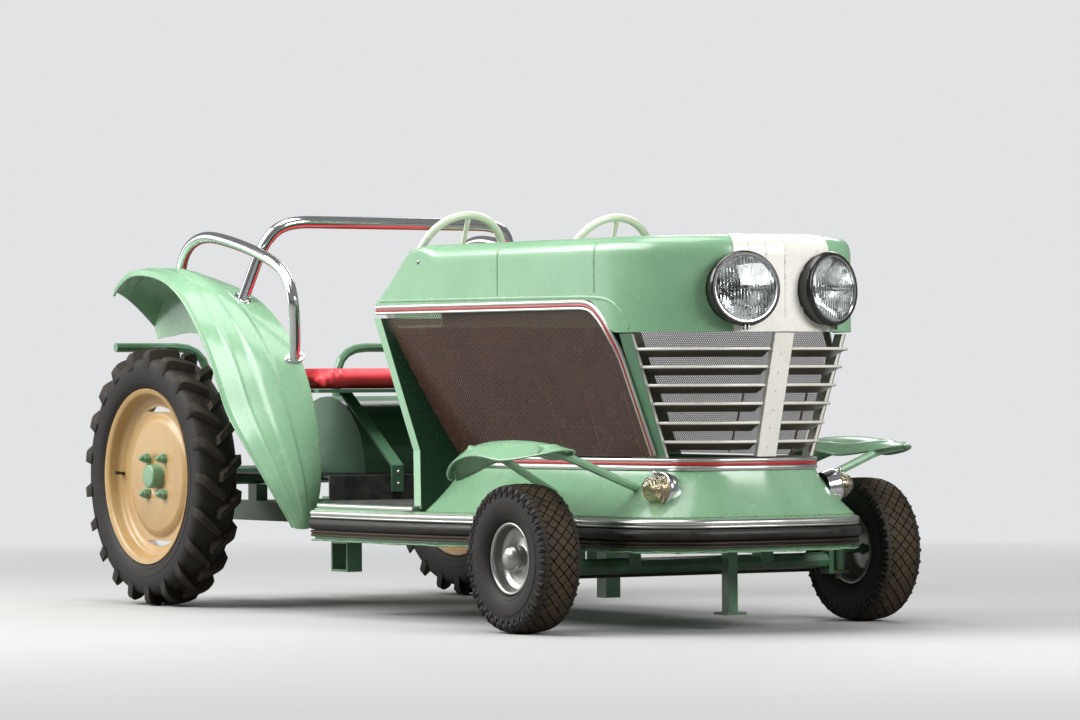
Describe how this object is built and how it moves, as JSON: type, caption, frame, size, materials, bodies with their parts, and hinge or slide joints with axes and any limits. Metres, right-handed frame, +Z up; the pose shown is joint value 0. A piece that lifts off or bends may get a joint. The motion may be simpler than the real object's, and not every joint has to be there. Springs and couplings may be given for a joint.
{
  "type": "children's fairground ride tractor",
  "caption": "Green fairground ride tractor for children, with round headlamps, louvred grille, driver's wheels, red seat and lug tyres.",
  "frame": {"origin": "centre of the footprint, on the ground", "axes": "+X towards the nose, +Y to the vehicle's left, +Z up"},
  "size_m": [2.2564, 0.996, 0.9063],
  "materials": {
    "green_paint": "aged gloss green paint",
    "white_paint": "aged white paint",
    "cream_paint": "aged cream paint, rust at the edges",
    "ivory_paint": "pale ivory-green moulded plastic, worn",
    "silver_trim": "ribbed trim, satin",
    "chrome": "polished, lightly pitted",
    "steel": "bright steel, satin",
    "black_enamel": "black gloss enamel",
    "black_rubber": "black strip rubber",
    "tyre_rubber": "matt black tyre",
    "lens_glass": "clear fluted glass",
    "mesh_steel": "dark rusted expanded metal",
    "red_vinyl": "red vinyl, wrinkled",
    "grey_mat": "dark grey ribbed mat"
  },
  "bodies": {
    "tractor_body": {"bonnet": "green_paint", "nose_band": "white_paint", "grille": "white_paint", "grille_post": "white_paint", "apron": "green_paint", "belt_trim": "silver_trim", "sill": "green_paint", "bumper_channel": "silver_trim", "bumper_rubber": "black_rubber", "firewall": "green_paint", "dash_tray": "green_paint", "floor_pan": "green_paint", "floor_mat": "grey_mat", "rear_deck": "green_paint", "drive_cover": "green_paint", "seat_cushion": "red_vinyl", "seat_frame": "green_paint", "backrest_rail": "chrome", "chassis": "green_paint", "rear_axle": "green_paint", "front_axle": "green_paint", "headlamp_right": "black_enamel", "headlamp_left": "black_enamel", "headlamp_lens_right": "lens_glass", "headlamp_lens_left": "lens_glass", "side_lamp_right": "chrome", "side_lamp_left": "chrome", "side_mesh_right": "mesh_steel", "side_mesh_left": "mesh_steel", "side_trim_right": "silver_trim", "side_trim_left": "silver_trim", "step_moulding_right": "chrome", "step_moulding_left": "chrome", "column_collar_right": "green_paint", "column_collar_left": "green_paint", "rear_fender_right": "green_paint", "rear_fender_left": "green_paint", "grab_hoop_right": "chrome", "grab_hoop_left": "chrome", "mudguard_right": "green_paint", "mudguard_left": "green_paint"},
    "tie_rod_body": {"tie_rod": "black_enamel"},
    "knuckle_body_right": {"knuckle_right": "green_paint"},
    "front_wheel_right": {"front_tyre_right": "tyre_rubber", "front_rim_right": "steel"},
    "rear_wheel_right": {"rear_tyre_right": "tyre_rubber", "rear_rim_right": "cream_paint", "rear_hub_right": "green_paint"},
    "driver_wheel_right": {"steering_wheel_right": "ivory_paint"},
    "knuckle_body_left": {"knuckle_left": "green_paint"},
    "front_wheel_left": {"front_tyre_left": "tyre_rubber", "front_rim_left": "steel"},
    "rear_wheel_left": {"rear_tyre_left": "tyre_rubber", "rear_rim_left": "cream_paint", "rear_hub_left": "green_paint"},
    "driver_wheel_left": {"steering_wheel_left": "ivory_paint"}
  },
  "joints": [
    {"name": "steer_right", "type": "hinge", "parent": "tractor_body", "child": "knuckle_body_right", "pos_m": [0.7678, -0.372, 0.146], "axis": [0, 0, 1], "range_deg": [-20, 20]},
    {"name": "front_roll_right", "type": "hinge", "parent": "knuckle_body_right", "child": "front_wheel_right", "pos_m": [0.7678, -0.435, 0.155], "axis": [0, 1, 0], "continuous": true},
    {"name": "rear_roll_right", "type": "hinge", "parent": "tractor_body", "child": "rear_wheel_right", "pos_m": [-0.8252, -0.4265, 0.303], "axis": [0, 1, 0], "continuous": true},
    {"name": "driver_turn_right", "type": "hinge", "parent": "tractor_body", "child": "driver_wheel_right", "pos_m": [0.1346, -0.196, 0.78659], "axis": [-0.9272, 0, 0.3746], "continuous": true},
    {"name": "steer_left", "type": "hinge", "parent": "tractor_body", "child": "knuckle_body_left", "pos_m": [0.7678, 0.372, 0.146], "axis": [0, 0, 1], "range_deg": [-20, 20]},
    {"name": "front_roll_left", "type": "hinge", "parent": "knuckle_body_left", "child": "front_wheel_left", "pos_m": [0.7678, 0.435, 0.155], "axis": [0, 1, 0], "continuous": true},
    {"name": "rear_roll_left", "type": "hinge", "parent": "tractor_body", "child": "rear_wheel_left", "pos_m": [-0.8252, 0.4265, 0.303], "axis": [0, 1, 0], "continuous": true},
    {"name": "driver_turn_left", "type": "hinge", "parent": "tractor_body", "child": "driver_wheel_left", "pos_m": [0.1346, 0.196, 0.78659], "axis": [-0.9272, 0, 0.3746], "continuous": true},
    {"name": "tie_rod_pin", "type": "hinge", "parent": "knuckle_body_right", "child": "tie_rod_body", "pos_m": [0.7058, -0.372, 0.1105], "axis": [0, 0, 1], "range_deg": [-20, 20]}
  ],
  "couplings": [
    {"joint": "steer_left", "follows": "steer_right", "ratio": 1},
    {"joint": "tie_rod_pin", "follows": "steer_right", "ratio": -1}
  ]
}
